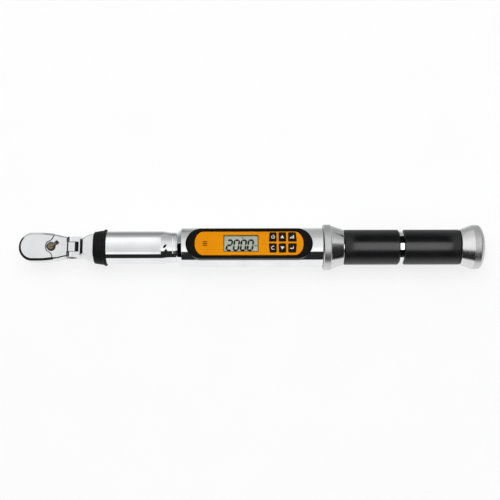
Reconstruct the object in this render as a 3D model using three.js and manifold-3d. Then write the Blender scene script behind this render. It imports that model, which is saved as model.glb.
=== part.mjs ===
// Flex-head electronic torque wrench with a 3/8 in square drive.
// Millimetres, +Z out of the display, +X from the head towards the end cap.
// The origin is the centre of the square drive's end face; the handle axis runs along X at z = AXIS_Z.
import * as THREE from 'three';
import { mergeVertices } from 'three/addons/utils/BufferGeometryUtils.js';
import Module from 'manifold-3d';

const wasm = await Module();
wasm.setup();

// Overall
const SEG = 36;                 // facets around the large round parts
const SMALL_SEG = 16;           // facets around pins, balls and screws
const GAP = 0.12;               // clearance between parts that are fitted together
const RUN = 0.25;               // running clearance between parts that move
const AXIS_Z = 17.8;            // height of the handle axis above the drive's end face

// Ratchet head
const HEAD_R = 13.3;            // half the head's width
const HEAD_REACH = 12.7;        // from the drive axis to the head's front end
const HEAD_HALF = 6.6;          // half the head's thickness below the raised face
const HEAD_BEVEL = 1.3;
const HEAD_BACK = 33;           // where the head's body ends behind the tang's root
const FACE_R = 12.2;
const FACE_REACH = 11.6;
const FACE_TOP = 7.1;
const GEAR_R = 9.1;
const GEAR_TEETH = 60;
const GEAR_DEPTH = 0.45;
const GEAR_HALF = 3.3;
const GEAR_POCKET_R = 9.6;
const HUB_R = 7.2;
const DRIVE_SIDE = 9.53;
const COVER_R = 11.4;
const COVER_TOP = -4.3;
const COVER_BOTTOM = -6.0;
const RING_OPENING = 22;        // half angle of the retaining ring's gap
const BALL_R = 1.7;
const BALL_OUT = 0.5;           // how far the detent ball stands out of the drive
const BALL_Z = -11.6;
const LEVER_X = 17.4;
const LEVER_R = 4.1;
const LEVER_REACH = 6.8;
const LEVER_TIP_R = 1.5;
const LEVER_ANGLE = 35;
const LEVER_SHAFT_R = 2.3;
const LEVER_BOTTOM = 6.75;
const LEVER_TOP = 8.3;
const PAWL_IN_R = 9.3;
const PAWL_OUT_R = 12.6;
const PAWL_PIN_X = 11.2;
const PAWL_PIN_R = 0.8;
const PAWL_PLAY = 0.1;          // clearance between the pawl's teeth and the gear's
const PAWL_ROCK = 4.5;          // how far the pawl leans towards one side
const PAWL_SPAN = 38;           // half angle the pawl covers around the gear
const CHAMBER_R = 13.4;         // outer radius of the pawl chamber

// Flex joint
const PIVOT_X = 36;
const TANG_HALF = 4.5;
const TANG_R = 6.2;
const EAR_R = 5.7;
const EAR_CLEARANCE = 6.2;
const EAR_OUT = 9.6;
const SLOT_HALF = TANG_HALF + RUN;
const PIN_R = 3;
const PIN_HEAD_R = 3.6;
const NECK_FLAT = 8;
const YOKE_BLOCK_END = 44;

// Front section
const COLLAR_START = 57;
const COLLAR_END = 68.6;
const SHANK_R = 12.8;
const TUBE_START = 68.8;
const TUBE_R = 15.4;
const TUBE_SHOULDER = 119;
const TUBE_NECK_X = 126;
const TUBE_NECK_R = 14.2;
const TUBE_END = 134.5;
const BEAM_END = 130;
const BEAM_HALF_Y = 5;
const BEAM_HALF_Z = 8;
const CROSS_PIN_X = 122.3;
const CROSS_PIN_R = 1.1;

// Display housing
const HOUSING_START = 134.7;
const HOUSING_END = 269;
const HOUSING_R = 18.2;
const HOUSING_NOSE = 4;         // length of the cone at the housing's front end
const HOUSING_NOSE_R = 14.7;
const HOUSING_BORE = 16;
const WALL_BORE = 12.1;
const BEZEL_START = 142.7;
const BEZEL_END = 259;
const BEZEL_HALF = 14.15;
const BEZEL_BOTTOM = 9;
const BEZEL_TOP = 19.4;
const PANEL_START = 150.9;
const PANEL_END = 250.6;
const PANEL_HALF = 11;
const PANEL_REACH = 8;          // how far the panel's curved ends reach along X
const PANEL_LEDGE = 0.5;        // width of the bezel's ledge under the panel
const PANEL_BOTTOM = 17.3;
const PANEL_TOP = 18.5;
const WINDOW_START = 177.4;
const WINDOW_END = 209.3;
const WINDOW_HALF = 7.75;
const LCD_MARGIN = 2;            // how far the display module reaches past the window at each end
const LCD_HALF = 9;
const LCD_BOTTOM = 15.2;
const BOARD_Z = 11;
const BOARD_THICK = 1.6;
const BOARD_TOP = BOARD_Z + BOARD_THICK + 0.1;
const VENT_START = 158.3;       // the buzzer's sound slots lie along X, one above the other
const VENT_END = 162.5;
const VENT_STEP = 1.7;
const VENT_HALF = 0.4;
const BUZZER_X = 160.4;
const KEY_COLUMNS = [[218.9, 225.8], [228, 234.4], [236.7, 244.3]];
const KEY_EDGE_LEAN = 0.9;      // how far the outer keys' outer edges slant
const KEY_ROW_Y = 5.12;
const KEY_SHIFT_Y = 0.8;        // the keypad sits a little above the panel's centre line
const KEY_HALF_Y = 4.2;
const KEY_TOP = 19.1;
const KEY_BOTTOM = 14.7;
const KEY_NAMES = [['key_power', 'key_clear'], ['key_up', 'key_down'], ['key_memory', 'key_unit']];

// Handle
const FLANGE_START = 269.15;
const FLANGE_STEP = 276.2;
const FLANGE_R = 21.2;
const FLANGE_END = 288.2;
const HANDLE_R = 13.6;
const HANDLE_BORE = 12;
const HANDLE_START = 262;
const HANDLE_END = 396.2;
const GRIP_R = 15.95;
const GRIP_SPLIT = 339.5;
const RING_START = 339.7;
const RING_END = 343.7;
const GRIP_REAR_START = 343.9;
const CAP_START = 396.5;
const CAP_WAIST_R = 16.6;
const CAP_R = 20.5;
const CAP_BAND_START = 407.5;
const CAP_BAND_END = 413.6;
const CAP_END = 419.9;
const SPIGOT_START = 387;
const SPIGOT_R = 11.5;
const BATTERY_R = 7.2;
const BATTERY_LENGTH = 50.2;
const BATTERY_START = 281;
const LINER_BORE = 7.5;

const FINISHES = {
  chrome: { color: 0xd2d4d6, roughness: 0.08, metalness: 1 },
  satin: { color: 0xb4b6b8, roughness: 0.32, metalness: 1 },
  dark: { color: 0x4a4038, roughness: 0.35, metalness: 1 },
  rubber: { color: 0x1c1c1e, roughness: 0.85, metalness: 0 },
  black: { color: 0x161618, roughness: 0.45, metalness: 0 },
  orange: { color: 0xf7a00a, roughness: 0.4, metalness: 0 },
  glass: { color: 0xaab2a4, roughness: 0.1, metalness: 0 },
  lcd: { color: 0x9aa394, roughness: 0.5, metalness: 0 },
  board: { color: 0x1f5b33, roughness: 0.5, metalness: 0 },
  spring: { color: 0xa8a8a4, roughness: 0.25, metalness: 1 },
  brass: { color: 0xb98f3c, roughness: 0.3, metalness: 1 },
  polymer: { color: 0xd8d4c4, roughness: 0.5, metalness: 0 },
  film: { color: 0xc98a3a, roughness: 0.4, metalness: 0 },
  cell: { color: 0x2f3f55, roughness: 0.35, metalness: 0 },
};

// ---- solids -------------------------------------------------------------------------------------

function signedVolume(points, triangles) {
  let sum = 0;
  const a = new THREE.Vector3();
  const b = new THREE.Vector3();
  const c = new THREE.Vector3();
  for (let i = 0; i < triangles.length; i += 3) {
    a.fromArray(points, triangles[i] * 3);
    b.fromArray(points, triangles[i + 1] * 3);
    c.fromArray(points, triangles[i + 2] * 3);
    sum += a.dot(b.cross(c));
  }
  return sum / 6;
}

// A closed three.js geometry as a solid, faces turned outward.
function solid(geometry) {
  const bare = geometry.clone();
  bare.deleteAttribute('normal');
  bare.deleteAttribute('uv');
  const welded = mergeVertices(bare, 1e-4);
  const points = Float32Array.from(welded.attributes.position.array);
  const index = welded.index.array;
  const kept = [];
  for (let i = 0; i < index.length; i += 3) {
    const [a, b, c] = [index[i], index[i + 1], index[i + 2]];
    if (a !== b && b !== c && c !== a) kept.push(a, b, c);
  }
  if (signedVolume(points, kept) < 0) {
    for (let i = 0; i < kept.length; i += 3) [kept[i + 1], kept[i + 2]] = [kept[i + 2], kept[i + 1]];
  }
  return new wasm.Manifold(new wasm.Mesh({
    numProp: 3, vertProperties: points, triVerts: Uint32Array.from(kept),
  }));
}

const box = (x0, x1, y0, y1, z0, z1) => solid(new THREE.BoxGeometry(x1 - x0, y1 - y0, z1 - z0)
  .translate((x0 + x1) / 2, (y0 + y1) / 2, (z0 + z1) / 2));

// Profile of [radius, distance along X], starting and ending on the axis or closing on itself.
const turnX = (profile, seg = SEG) => solid(new THREE.LatheGeometry(
  profile.map(([r, x]) => new THREE.Vector2(r, x)), seg).rotateZ(-Math.PI / 2));

// Profile of [radius, height], turned about Z.
const turnZ = (profile, seg = SEG) => solid(new THREE.LatheGeometry(
  profile.map(([r, z]) => new THREE.Vector2(r, z)), seg).rotateX(Math.PI / 2));

const rod = (r, x0, x1, seg = SMALL_SEG) => turnX([[0, x0], [r, x0], [r, x1], [0, x1]], seg);
const post = (r, x, y, z0, z1, seg = SMALL_SEG) =>
  turnZ([[0, z0], [r, z0], [r, z1], [0, z1]], seg).translate([x, y, 0]);
const crossRod = (r, x, z, y0, y1, seg = SMALL_SEG) =>
  turnZ([[0, y0], [r, y0], [r, y1], [0, y1]], seg).rotate([-90, 0, 0]).translate([x, 0, z]);
const tubeX = (rOut, rIn, x0, x1, seg = SEG) =>
  turnX([[rIn, x0], [rOut, x0], [rOut, x1], [rIn, x1], [rIn, x0]], seg);

// Outline in the XY plane raised from z0 to z1, its upper and lower edges chamfered by `bevel`.
function raise(outline, z0, z1, bevel = 0) {
  const options = { depth: z1 - z0 - 2 * bevel, steps: 1, bevelEnabled: bevel > 0, curveSegments: 8 };
  if (bevel > 0) {
    Object.assign(options, {
      bevelThickness: bevel, bevelSize: bevel, bevelOffset: -bevel, bevelSegments: 2,
    });
  }
  return solid(new THREE.ExtrudeGeometry(outline, options).translate(0, 0, z0 + bevel));
}

const outlineOf = (points) => new THREE.Shape(points.map(([x, y]) => new THREE.Vector2(x, y)));

// Wire of radius r following a coil about X, wound from coil radius r0 to r1.
function coilX(r, r0, r1, x0, x1, turns) {
  const points = [];
  const steps = turns * 8;
  for (let i = 0; i <= steps; i += 1) {
    const t = i / steps;
    const angle = t * turns * 2 * Math.PI;
    const radius = r0 + (r1 - r0) * t;
    points.push(new THREE.Vector3(x0 + (x1 - x0) * t, radius * Math.cos(angle), radius * Math.sin(angle)));
  }
  const wire = new THREE.Shape();
  wire.absarc(0, 0, r, 0, 2 * Math.PI);
  return solid(new THREE.ExtrudeGeometry(wire, {
    steps, curveSegments: 3, bevelEnabled: false, extrudePath: new THREE.CatmullRomCurve3(points),
  }));
}

function arcPoints(cx, cy, r, from, to, steps) {
  const points = [];
  for (let i = 0; i <= steps; i += 1) {
    const a = THREE.MathUtils.degToRad(from + (to - from) * i / steps);
    points.push([cx + r * Math.cos(a), cy + r * Math.sin(a)]);
  }
  return points;
}

// Outline with straight long sides and half-ellipse ends of the given reach along X.
function ovalOutline(x0, x1, half, reach) {
  const end = (cx, from, to) => arcPoints(0, 0, 1, from, to, 16)
    .map(([x, y]) => [cx + reach * x, half * y]);
  return outlineOf([...end(x1 - reach, -90, 90), ...end(x0 + reach, 90, 270)]);
}

// ---- ratchet head -------------------------------------------------------------------------------

// Front end of the head: half an ellipse about the drive axis.
const roundedEnd = (reach, half) => arcPoints(0, 0, 1, 90, 270, 24).map(([x, y]) => [reach * x, half * y]);

// Teardrop seen from above: round about the drive axis, narrowing to the flex joint.
function headOutline() {
  const side = [[8, HEAD_R], [15, 12.8], [21, 12], [25, 11.2], [29, 10.2], [33.5, 9.6]];
  const upper = side.slice().reverse();
  const lower = side.map(([x, y]) => [x, -y]);
  return outlineOf([...lower, ...upper, ...roundedEnd(HEAD_REACH, HEAD_R)]);
}

function faceOutline() {
  const lever = arcPoints(LEVER_X, 0, LEVER_R + 0.9, -80, -280, 12);
  const side = [[8, FACE_R], [15, 11.6], [21.2, 10.5]];
  return outlineOf([
    ...side.map(([x, y]) => [x, -y]), ...lever, ...side.slice().reverse(),
    ...roundedEnd(FACE_REACH, FACE_R),
  ]);
}

// The pawl's chamber and the pawl are sectors around the drive axis.
const sector = (rIn, rOut, half, z0, z1) => raise(outlineOf([
  ...arcPoints(0, 0, rOut, -half, half, 14), ...arcPoints(0, 0, rIn, half, -half, 14)]), z0, z1);

function ratchetHead() {
  const body = raise(headOutline(), -HEAD_HALF, HEAD_HALF, HEAD_BEVEL)
    .add(raise(faceOutline(), HEAD_HALF - 1, FACE_TOP, 0.35));
  const shoulderCuts = [-1, 1].map((side) =>
    crossRod(EAR_CLEARANCE, PIVOT_X, 0, side > 0 ? TANG_HALF : -20, side > 0 ? 20 : -TANG_HALF, SEG));
  const tang = box(26, PIVOT_X, -TANG_HALF, TANG_HALF, -5.4, 5.4)
    .add(crossRod(TANG_R, PIVOT_X, 0, -TANG_HALF, TANG_HALF, SEG));
  return body
    .subtract(box(HEAD_BACK, 50, -20, 20, -20, 20))
    .subtract(shoulderCuts[0]).subtract(shoulderCuts[1])
    .subtract(box(31.5, 40, -20, -TANG_HALF, -20, 20)).subtract(box(31.5, 40, TANG_HALF, 20, -20, 20))
    .add(tang)
    .subtract(crossRod(PIN_R + 0.2, PIVOT_X, 0, -10, 10))
    .subtract(post(GEAR_POCKET_R, 0, 0, COVER_TOP, GEAR_HALF + RUN, SEG))
    .subtract(post(COVER_R + GAP, 0, 0, -10, COVER_TOP, SEG))
    .subtract(sector(GEAR_POCKET_R - 1, CHAMBER_R, PAWL_SPAN + 4, COVER_TOP, GEAR_HALF + RUN))
    .subtract(post(LEVER_SHAFT_R + 1.9, LEVER_X, 0, COVER_TOP, GEAR_HALF + RUN, SMALL_SEG))
    .subtract(box(10, LEVER_X, -3.2, 3.2, COVER_TOP, GEAR_HALF + RUN))
    .subtract(post(LEVER_SHAFT_R + 0.2, LEVER_X, 0, 0, 10))
    .subtract(post(PAWL_PIN_R + GAP, PAWL_PIN_X, 0, 0, GEAR_HALF + 1.6));
}

const coverPlate = () => turnZ([
  [HUB_R + RUN, COVER_BOTTOM], [COVER_R, COVER_BOTTOM], [COVER_R, COVER_TOP],
  [HUB_R + RUN, COVER_TOP], [HUB_R + RUN, COVER_BOTTOM]]);

function retainingRing() {
  const openRing = outlineOf([
    ...arcPoints(0, 0, COVER_R - 0.2, RING_OPENING, 360 - RING_OPENING, 40),
    ...arcPoints(0, 0, COVER_R - 1.4, 360 - RING_OPENING, RING_OPENING, 40)]);
  return raise(openRing, COVER_BOTTOM - 0.7, COVER_BOTTOM - 0.1);
}

function gearOutline(tipRadius) {
  const teeth = [];
  for (let i = 0; i < GEAR_TEETH; i += 1) {
    const a = 2 * Math.PI * i / GEAR_TEETH;
    const b = a + Math.PI / GEAR_TEETH;
    teeth.push([tipRadius * Math.cos(a), tipRadius * Math.sin(a)]);
    teeth.push([(tipRadius - GEAR_DEPTH) * Math.cos(b), (tipRadius - GEAR_DEPTH) * Math.sin(b)]);
  }
  return outlineOf(teeth);
}

function driveGear() {
  const half = DRIVE_SIDE / 2;
  const square = outlineOf([[-half, -half], [half, -half], [half, half], [-half, half]]);
  const ballHole = crossRod(BALL_R + 0.1, 0, BALL_Z, -10, 1.6);
  return raise(gearOutline(GEAR_R), -GEAR_HALF, GEAR_HALF)
    .add(post(HUB_R, 0, 0, -7, -GEAR_HALF + 0.5, SEG))
    .add(box(-half, half, -half, half, -AXIS_Z + 0.8, -6.5))
    .add(raise(square, -AXIS_Z, -AXIS_Z + 1.6, 0.7))
    .subtract(ballHole);
}

const detentBall = () => solid(new THREE.SphereGeometry(BALL_R, SMALL_SEG, 10)
  .translate(0, -(DRIVE_SIDE / 2 + BALL_OUT - BALL_R), BALL_Z));

const detentSpring = () => coilX(0.2, 1.1, 1.1, 0, 2.6, 4).rotate([0, 0, 90])
  .translate([0, -1.2, BALL_Z]);

// A double-ended blade that rocks about its pin; each end's teeth fit the gear when it leans that way.
function pawl() {
  const lean = (shape, degrees) => shape.translate([-PAWL_PIN_X, 0, 0]).rotate([0, 0, degrees])
    .translate([PAWL_PIN_X, 0, 0]);
  const teeth = raise(gearOutline(GEAR_R + PAWL_PLAY), -4, 4);
  const blade = sector(PAWL_IN_R, PAWL_OUT_R, PAWL_SPAN, -3, 3)
    .subtract(post(PAWL_PIN_R + GAP, PAWL_PIN_X, 0, -10, 10));
  const upperCut = lean(blade, PAWL_ROCK).subtract(teeth);
  return lean(upperCut, -2 * PAWL_ROCK).subtract(teeth);
}

const pawlPin = () => post(PAWL_PIN_R, PAWL_PIN_X, 0, -3.9, GEAR_HALF + 1.4);

function reversingLever() {
  const side = 78;
  const arm = outlineOf([
    ...arcPoints(0, 0, 3.2, side, 360 - side, 16),
    ...arcPoints(LEVER_REACH, 0, LEVER_TIP_R, -side, side, 8)]);
  return post(LEVER_R, 0, 0, LEVER_BOTTOM, LEVER_TOP, SMALL_SEG * 2)
    .add(raise(arm, LEVER_BOTTOM + 0.6, LEVER_TOP + 0.5, 0.3))
    .rotate([0, 0, LEVER_ANGLE])
    .add(post(LEVER_SHAFT_R, 0, 0, -3.6, LEVER_BOTTOM + 0.5))
    .subtract(rod(1.05, -5, 0.4).rotate([0, 0, LEVER_ANGLE]))
    .translate([LEVER_X, 0, 0]);
}

const pawlPlunger = () => turnX([[0, -4.6], [0.55, -4.4], [0.9, -3.9], [0.9, 0.2], [0, 0.2]], SMALL_SEG)
  .rotate([0, 0, LEVER_ANGLE]).translate([LEVER_X, 0, 0]);

// ---- flex joint and torque beam -----------------------------------------------------------------

function flexPin() {
  const head = crossRod(PIN_HEAD_R, PIVOT_X, 0, -EAR_OUT + 0.1, -EAR_OUT + 1.5);
  const socket = solid(new THREE.CylinderGeometry(1.7, 1.7, 3, 6))
    .translate([PIVOT_X, -EAR_OUT + 0.1, 0]);
  return head.add(crossRod(PIN_R, PIVOT_X, 0, -EAR_OUT + 1, EAR_OUT - 0.3)).subtract(socket);
}

function yoke() {
  const neck = turnX([
    [0, 43], [9.6, 43], [9.8, 46.5], [11.2, 49.2], [12.6, 52.4], [13.6, 56.8], [SHANK_R, 56.9],
    [SHANK_R, 80], [7, 84], [7, 86], [0, 86]]);
  const flats = box(40, 56.9, -20, 20, NECK_FLAT, 20).add(box(40, 56.9, -20, 20, -20, -NECK_FLAT));
  const step = box(42, 47, -20, 20, 6.6, 20).add(box(42, 47, -20, 20, -20, -6.6));
  const ears = box(PIVOT_X, YOKE_BLOCK_END, -EAR_OUT, EAR_OUT, -EAR_R, EAR_R)
    .add(crossRod(EAR_R, PIVOT_X, 0, -EAR_OUT, EAR_OUT, SEG));
  const slot = crossRod(TANG_R + 0.5, PIVOT_X, 0, -SLOT_HALF, SLOT_HALF, SEG)
    .add(box(20, PIVOT_X, -SLOT_HALF, SLOT_HALF, -10, 10));
  const beam = box(84, BEAM_END, -BEAM_HALF_Y, BEAM_HALF_Y, -BEAM_HALF_Z, BEAM_HALF_Z);
  return neck.subtract(flats).subtract(step).add(ears).add(beam)
    .subtract(slot)
    .subtract(crossRod(PIN_R + GAP, PIVOT_X, 0, -20, 20))
    .subtract(crossRod(PIN_HEAD_R + GAP, PIVOT_X, 0, -20, -EAR_OUT + 1.65))
    .subtract(post(CROSS_PIN_R + GAP, CROSS_PIN_X, 0, -20, 20));
}

const strainGauge = (side) => box(100, 109, -2.6, 2.6, -0.15, 0.15)
  .translate([0, 0, side * (BEAM_HALF_Z + 0.18)]);

// ---- front section ------------------------------------------------------------------------------

const frontCollar = () => turnX([
  [SHANK_R + GAP, COLLAR_START], [14.3, COLLAR_START], [14.8, COLLAR_START + 0.6], [16.1, 65.6],
  [17.1, 66.4], [17.1, 67.9], [16.5, COLLAR_END], [SHANK_R + GAP, COLLAR_END],
  [SHANK_R + GAP, COLLAR_START]]);

function frontTube() {
  const bore = SHANK_R + GAP;
  return turnX([
    [bore, TUBE_START], [TUBE_R - 0.3, TUBE_START], [TUBE_R, TUBE_START + 0.5], [TUBE_R, TUBE_SHOULDER],
    [TUBE_NECK_R, TUBE_NECK_X], [TUBE_NECK_R, TUBE_END - 0.4], [WALL_BORE - GAP, TUBE_END],
    [WALL_BORE - GAP, 141], [10.6, 141], [10.6, 131], [11.6, 131], [11.6, 82], [bore, 81],
    [bore, TUBE_START]])
    .subtract(post(CROSS_PIN_R + GAP, CROSS_PIN_X, 0, -20, 20));
}

const crossPin = () => post(CROSS_PIN_R, CROSS_PIN_X, 0, -14.2, 14.2);

// ---- display housing ----------------------------------------------------------------------------

const stadium = (grow) => ovalOutline(
  BEZEL_START - grow, BEZEL_END + grow, BEZEL_HALF + grow, BEZEL_HALF + grow);
const panelOutline = (grow) => ovalOutline(
  PANEL_START - grow, PANEL_END + grow, PANEL_HALF + grow, PANEL_REACH + grow);

function housing() {
  return turnX([
    [WALL_BORE, HOUSING_START], [HOUSING_NOSE_R, HOUSING_START], [HOUSING_R, HOUSING_START + HOUSING_NOSE],
    [HOUSING_R, HOUSING_END - 0.4],
    [HOUSING_R - 0.4, HOUSING_END], [WALL_BORE, HOUSING_END], [WALL_BORE, HOUSING_END - 4],
    [HOUSING_BORE, HOUSING_END - 4], [HOUSING_BORE, HOUSING_START + 6], [WALL_BORE, HOUSING_START + 6],
    [WALL_BORE, HOUSING_START]])
    .subtract(raise(stadium(GAP), BEZEL_BOTTOM - 1, 30));
}

function bezel() {
  return raise(stadium(0), BEZEL_BOTTOM, BEZEL_TOP, 0.9)
    .subtract(raise(panelOutline(-PANEL_LEDGE), 0, 30))
    .subtract(raise(panelOutline(GAP), PANEL_BOTTOM - 0.1, 30));
}

const keyOutline = (column, grow) => {
  const [x0, x1] = KEY_COLUMNS[column];
  const leanLeft = column === 0 ? KEY_EDGE_LEAN : 0;
  const leanRight = column === 2 ? KEY_EDGE_LEAN : 0;
  const h = KEY_HALF_Y + grow;
  return outlineOf([
    [x0 - grow, -h], [x1 + grow, -h], [x1 + grow - leanRight, h], [x0 - grow + leanLeft, h]]);
};

// A key lies above (row 1) or below (row -1) the handle axis, its slanted edge mirrored below it.
function keyAt(column, row, grow, z0, z1, bevel) {
  const upper = raise(keyOutline(column, grow), z0, z1, bevel);
  const placed = row > 0 ? upper : upper.mirror([0, 1, 0]);
  return placed.translate([0, row * KEY_ROW_Y + KEY_SHIFT_Y, 0]);
}

function facePanel() {
  let plate = raise(panelOutline(0), PANEL_BOTTOM, PANEL_TOP)
    .subtract(box(WINDOW_START - GAP, WINDOW_END + GAP, -WINDOW_HALF - GAP, WINDOW_HALF + GAP, 0, 30));
  for (const column of [0, 1, 2]) {
    for (const row of [-1, 1]) plate = plate.subtract(keyAt(column, row, RUN, 0, 30, 0));
  }
  for (const row of [-1, 0, 1]) {
    const y = row * VENT_STEP;
    plate = plate.subtract(box(VENT_START, VENT_END, y - VENT_HALF, y + VENT_HALF, 0, 30));
  }
  return plate;
}

const displayWindow = () => box(
  WINDOW_START, WINDOW_END, -WINDOW_HALF, WINDOW_HALF, PANEL_BOTTOM + 0.1, PANEL_TOP - 0.05);
const lcdPanel = () => box(
  WINDOW_START - LCD_MARGIN, WINDOW_END + LCD_MARGIN, -LCD_HALF, LCD_HALF, LCD_BOTTOM, PANEL_BOTTOM - 0.15);
const circuitBoard = () => raise(panelOutline(-1.7), BOARD_Z, BOARD_Z + BOARD_THICK);
const controllerChip = () => box(186, 198, -6, 6, BOARD_Z - 1.5, BOARD_Z - 0.05);
const lcdCarrier = () => box(
  WINDOW_START - LCD_MARGIN, WINDOW_END + LCD_MARGIN, -LCD_HALF, LCD_HALF, BOARD_TOP, LCD_BOTTOM - 0.15)
  .subtract(box(WINDOW_START, WINDOW_END, -7.5, 7.5, 0, 30));
const buzzer = () => post(5, BUZZER_X, 0, BOARD_TOP, 16.4, SMALL_SEG)
  .subtract(post(1, BUZZER_X, 0, 15, 30, 12));
const keypadMat = () => box(216.5, 243.6, -8.6, 8.6, BOARD_TOP, 14);
const key = (column, row) => keyAt(column, row, 0, KEY_BOTTOM, KEY_TOP, 0.3);

// ---- handle -------------------------------------------------------------------------------------

const flangeCollar = () => turnX([
  [HANDLE_R + GAP, FLANGE_START], [FLANGE_R - 0.8, FLANGE_START], [FLANGE_R, FLANGE_START + 0.8],
  [FLANGE_R, FLANGE_STEP - 0.5], [20.5, FLANGE_STEP], [16.8, FLANGE_END - 0.6],
  [16.5, FLANGE_END], [HANDLE_R + GAP, FLANGE_END], [HANDLE_R + GAP, FLANGE_START]]);

const handleTube = () => turnX([
  [10.6, HANDLE_START], [WALL_BORE - GAP, HANDLE_START], [WALL_BORE - GAP, HOUSING_END + 0.15],
  [HANDLE_R, HOUSING_END + 0.15], [HANDLE_R, HANDLE_END], [HANDLE_BORE, HANDLE_END],
  [HANDLE_BORE, 277], [10.6, 277], [10.6, HANDLE_START]]);

const gripSleeve = (x0, x1) => turnX([
  [HANDLE_R + GAP, x0], [GRIP_R - 1, x0], [GRIP_R, x0 + 1], [GRIP_R, x1 - 1], [GRIP_R - 1, x1],
  [HANDLE_R + GAP, x1], [HANDLE_R + GAP, x0]]);

const gripRing = () => turnX([
  [HANDLE_R + GAP, RING_START], [14.6, RING_START], [14.9, RING_START + 0.4], [14.9, RING_END - 0.4],
  [14.6, RING_END], [HANDLE_R + GAP, RING_END], [HANDLE_R + GAP, RING_START]]);

const batteryLiner = () => tubeX(HANDLE_BORE - GAP, LINER_BORE, 279, 384);
const frontContact = () => rod(9, 277.6, 278.8).add(rod(3, 278.4, 280.6));

const battery = (x0) => turnX([
  [0, x0], [3, x0], [3, x0 + 0.6], [BATTERY_R - 0.4, x0 + 0.8], [BATTERY_R, x0 + 1.2],
  [BATTERY_R, x0 + BATTERY_LENGTH - 0.4], [BATTERY_R - 0.4, x0 + BATTERY_LENGTH],
  [0, x0 + BATTERY_LENGTH]], SMALL_SEG);

const batterySpring = () => coilX(0.4, 3, 6, 382.4, 389.9, 3);
const capContact = () => rod(8, 390.6, 391.4);

const capSeal = () => tubeX(SPIGOT_R + 0.36, SPIGOT_R - 0.35, 392.6, 394, SEG);

function endCap() {
  const start = CAP_START;
  return turnX([
    [0, 391.7], [8.3, 391.7], [8.3, SPIGOT_START], [SPIGOT_R, SPIGOT_START], [SPIGOT_R, 392.4],
    [SPIGOT_R - 0.6, 392.4], [SPIGOT_R - 0.6, 394.2], [SPIGOT_R, 394.2], [SPIGOT_R, start],
    [CAP_WAIST_R - 0.4, start], [CAP_WAIST_R, start + 0.4], [CAP_R, CAP_BAND_START],
    [CAP_R, CAP_BAND_END], [18.4, CAP_END - 4], [13.5, CAP_END - 2], [6, CAP_END - 0.4], [0, CAP_END]]);
}

// ---- assembly -----------------------------------------------------------------------------------

const wrench = new THREE.Group();
wrench.name = 'torque_wrench';

function add(name, finish, shape) {
  const mesh = shape.getMesh();
  const geometry = new THREE.BufferGeometry();
  geometry.setAttribute('position', new THREE.BufferAttribute(Float32Array.from(mesh.vertProperties), 3));
  geometry.setIndex(new THREE.BufferAttribute(Uint32Array.from(mesh.triVerts), 1));
  geometry.translate(0, 0, AXIS_Z);
  geometry.computeVertexNormals();
  const part = new THREE.Mesh(geometry, new THREE.MeshStandardMaterial(FINISHES[finish]));
  part.name = name;
  wrench.add(part);
}

add('ratchet_head', 'chrome', ratchetHead());
add('cover_plate', 'satin', coverPlate());
add('retaining_ring', 'spring', retainingRing());
add('drive_gear', 'satin', driveGear());
add('detent_ball', 'chrome', detentBall());
add('detent_spring', 'spring', detentSpring());
add('pawl', 'dark', pawl());
add('pawl_pin', 'satin', pawlPin());
add('pawl_plunger', 'satin', pawlPlunger());
add('reversing_lever', 'dark', reversingLever());
add('flex_pin', 'dark', flexPin());
add('flex_yoke', 'chrome', yoke());
add('strain_gauge_upper', 'film', strainGauge(1));
add('strain_gauge_lower', 'film', strainGauge(-1));
add('front_collar', 'rubber', frontCollar());
add('front_tube', 'chrome', frontTube());
add('cross_pin', 'dark', crossPin());
add('housing', 'chrome', housing());
add('bezel', 'black', bezel());
add('face_panel', 'orange', facePanel());
add('display_window', 'glass', displayWindow());
add('lcd_panel', 'lcd', lcdPanel());
add('lcd_carrier', 'polymer', lcdCarrier());
add('circuit_board', 'board', circuitBoard());
add('controller_chip', 'black', controllerChip());
add('buzzer', 'black', buzzer());
add('keypad_mat', 'rubber', keypadMat());
KEY_NAMES.forEach(([upper, lower], column) => {
  add(upper, 'black', key(column, 1));
  add(lower, 'black', key(column, -1));
});
add('flange_collar', 'satin', flangeCollar());
add('handle_tube', 'satin', handleTube());
add('grip_front', 'rubber', gripSleeve(FLANGE_END + 0.2, GRIP_SPLIT));
add('grip_ring', 'chrome', gripRing());
add('grip_rear', 'rubber', gripSleeve(GRIP_REAR_START, HANDLE_END));
add('battery_liner', 'polymer', batteryLiner());
add('front_contact', 'brass', frontContact());
add('battery_front', 'cell', battery(BATTERY_START));
add('battery_rear', 'cell', battery(BATTERY_START + BATTERY_LENGTH + 0.3));
add('battery_spring', 'spring', batterySpring());
add('cap_contact', 'brass', capContact());
add('cap_seal', 'rubber', capSeal());
add('end_cap', 'satin', endCap());

export default wrench;
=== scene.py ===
"""Flex-head electronic torque wrench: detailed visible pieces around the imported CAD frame.

Everything is in metres in the row frame: +X from the square drive to the end cap, +Z out of the display.
Shapes are written in millimetres and scaled by MM as they become meshes.
"""
import math

import bmesh
import bpy
from mathutils import Matrix, Vector


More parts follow.
